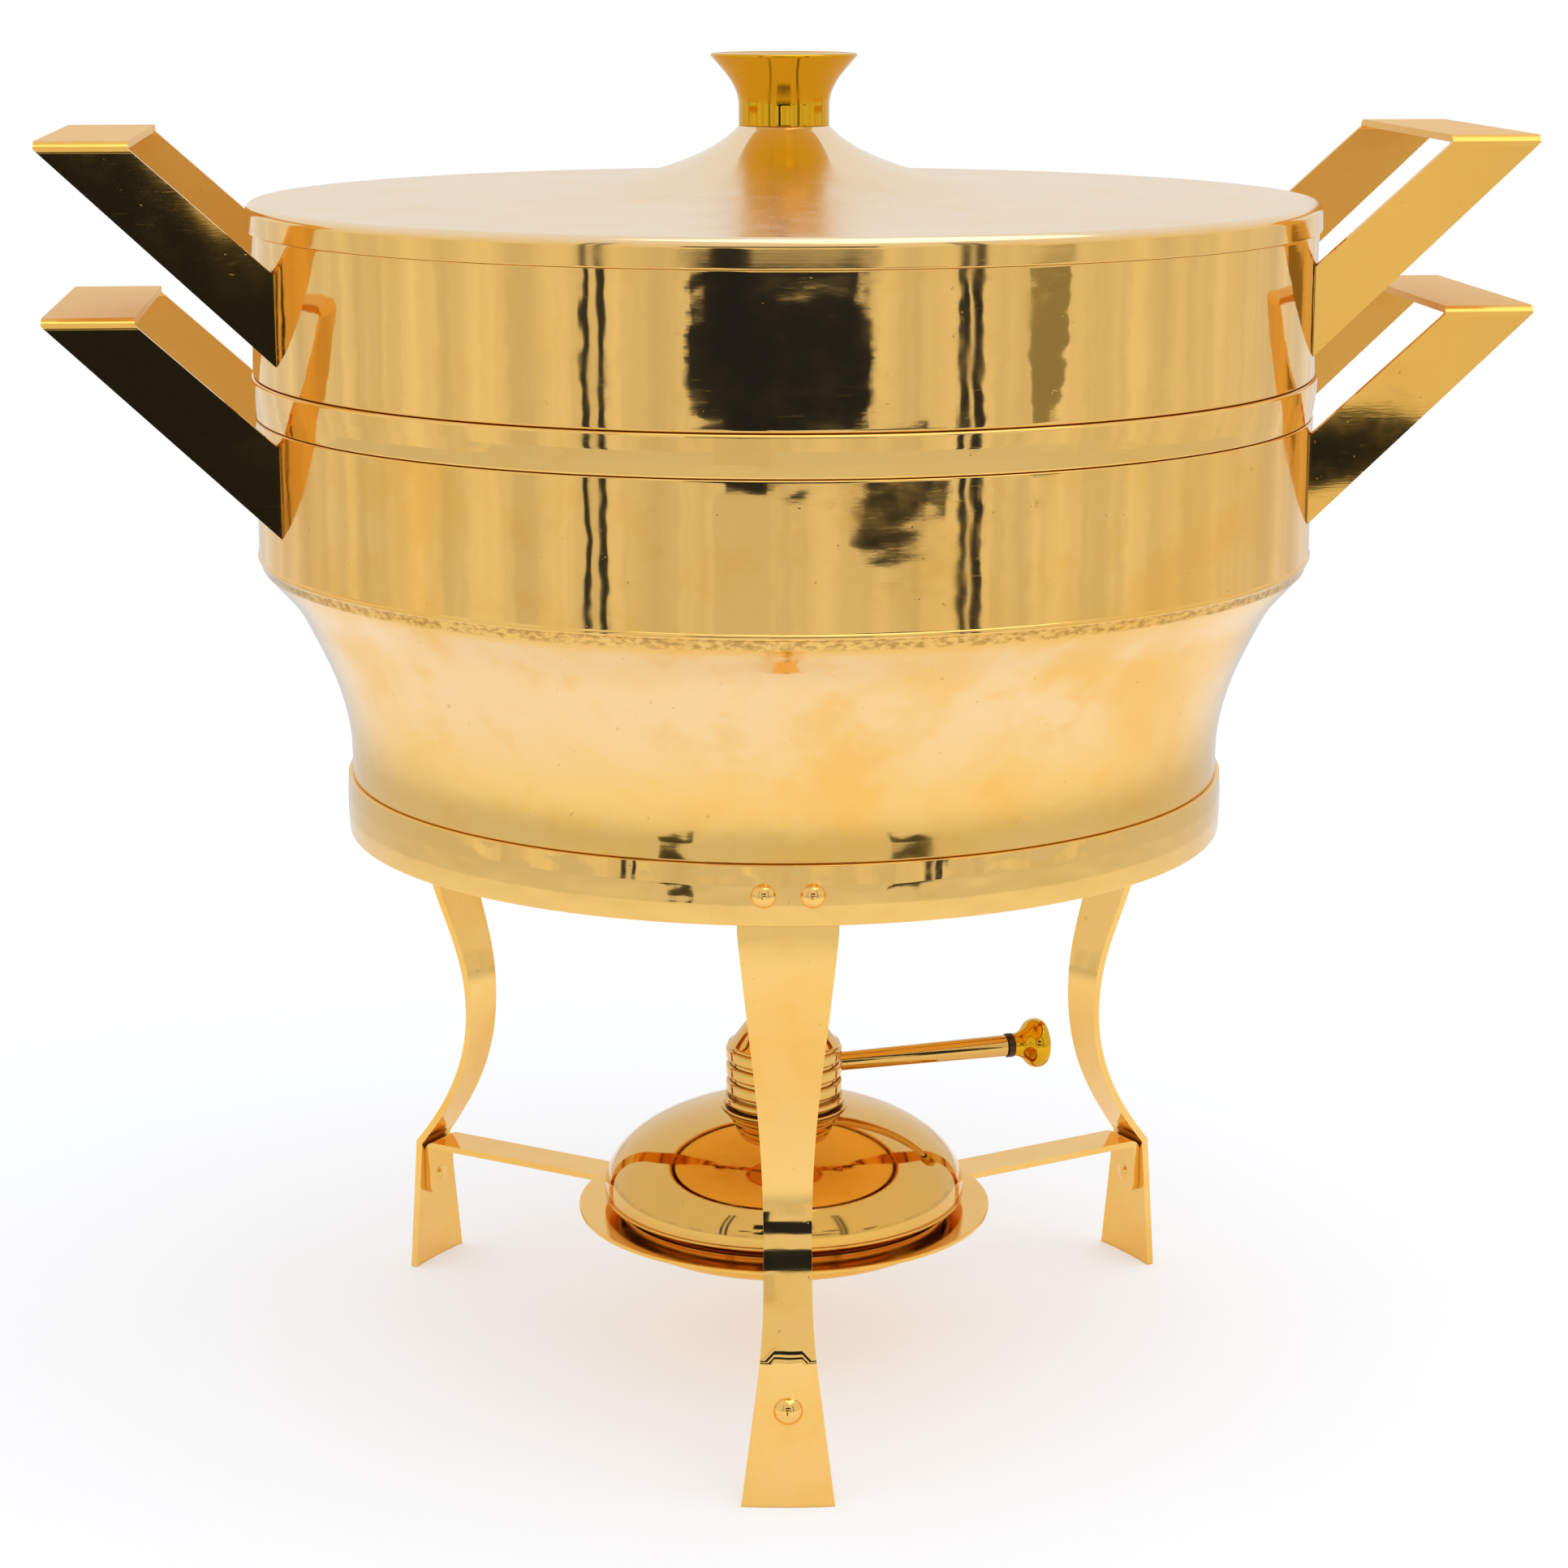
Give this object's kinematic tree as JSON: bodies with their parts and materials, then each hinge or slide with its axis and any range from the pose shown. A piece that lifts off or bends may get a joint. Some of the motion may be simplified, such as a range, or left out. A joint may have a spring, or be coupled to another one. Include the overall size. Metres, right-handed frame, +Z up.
{
  "type": "chafing dish",
  "caption": "Round polished-brass chafing dish: domed lid, food pan over a water pan, folded side handles, legged strap stand and a spirit burner with a swinging arm.",
  "frame": {"origin": "on the table, on the dish's axis", "axes": "+Z up along the axis, +X through the right-hand handles, +Y away from the front leg"},
  "size_m": [0.4104, 0.305, 0.3836],
  "materials": {
    "stand_brass": "hand-polished strap, lightly tarnished",
    "rivet_brass": "bright rounded heads",
    "water_pan_brass": "polished spun sheet with faint turning marks and tarnish clouds",
    "food_pan_brass": "polished spun sheet with faint turning marks",
    "band_brass": "polished, darker in the seam",
    "handle_brass": "polished folded strip, softened edges",
    "lid_brass": "polished spun sheet, slightly wavy",
    "knob_brass": "polished turned brass, a little more orange",
    "fixing_steel": "plain steel, dull",
    "font_brass": "polished spun brass with a few dull spots",
    "neck_brass": "turned brass, dull in the grooves",
    "ferrule_dark": "dark brown heat-toned collar",
    "wick_cotton": "woven cotton, singed at the top"
  },
  "bodies": {
    "stand": {"stand_hoop": "stand_brass", "leg_front": "stand_brass", "leg_right": "stand_brass", "leg_left": "stand_brass", "hoop_rivets": "rivet_brass", "foot_rivets": "rivet_brass", "spider_arm_front": "stand_brass", "spider_arm_right": "stand_brass", "spider_arm_left": "stand_brass", "burner_tray": "stand_brass"},
    "water_pan": {"water_pan_shell": "water_pan_brass", "water_pan_handle_right": "handle_brass", "water_pan_handle_left": "handle_brass"},
    "food_pan": {"food_pan_shell": "food_pan_brass", "food_pan_band": "band_brass", "food_pan_handle_right": "handle_brass", "food_pan_handle_left": "handle_brass"},
    "lid": {"lid_shell": "lid_brass", "lid_locating_ring": "lid_brass", "lid_knob": "knob_brass", "knob_screw": "fixing_steel", "knob_washer": "fixing_steel"},
    "burner": {"font_lower": "font_brass", "font_upper": "font_brass", "burner_neck": "neck_brass", "wick_tube": "neck_brass", "wick": "wick_cotton"},
    "regulator": {"regulator_sleeve": "neck_brass", "regulator_rod": "neck_brass", "rod_ferrule": "ferrule_dark", "rod_knob": "knob_brass"},
    "snuffer": {"snuffer_cap": "neck_brass", "snuffer_button": "knob_brass"}
  },
  "joints": [
    {"name": "water_pan_lift", "type": "slide", "parent": "stand", "child": "water_pan", "axis": [0, 0, 1], "range_m": [0, 0.12]},
    {"name": "food_pan_lift", "type": "slide", "parent": "water_pan", "child": "food_pan", "axis": [0, 0, 1], "range_m": [0, 0.12]},
    {"name": "lid_lift", "type": "slide", "parent": "food_pan", "child": "lid", "axis": [0, 0, 1], "range_m": [0, 0.1]},
    {"name": "burner_lift", "type": "slide", "parent": "stand", "child": "burner", "axis": [0, 0, 1], "range_m": [0, 0.03]},
    {"name": "regulator_swing", "type": "hinge", "parent": "burner", "child": "regulator", "pos_m": [0, 0, 0.0838], "axis": [0, 0, 1], "range_deg": [-45, 45]},
    {"name": "snuffer_lift", "type": "slide", "parent": "regulator", "child": "snuffer", "axis": [0, 0, 1], "range_m": [0, 0.025]}
  ]
}
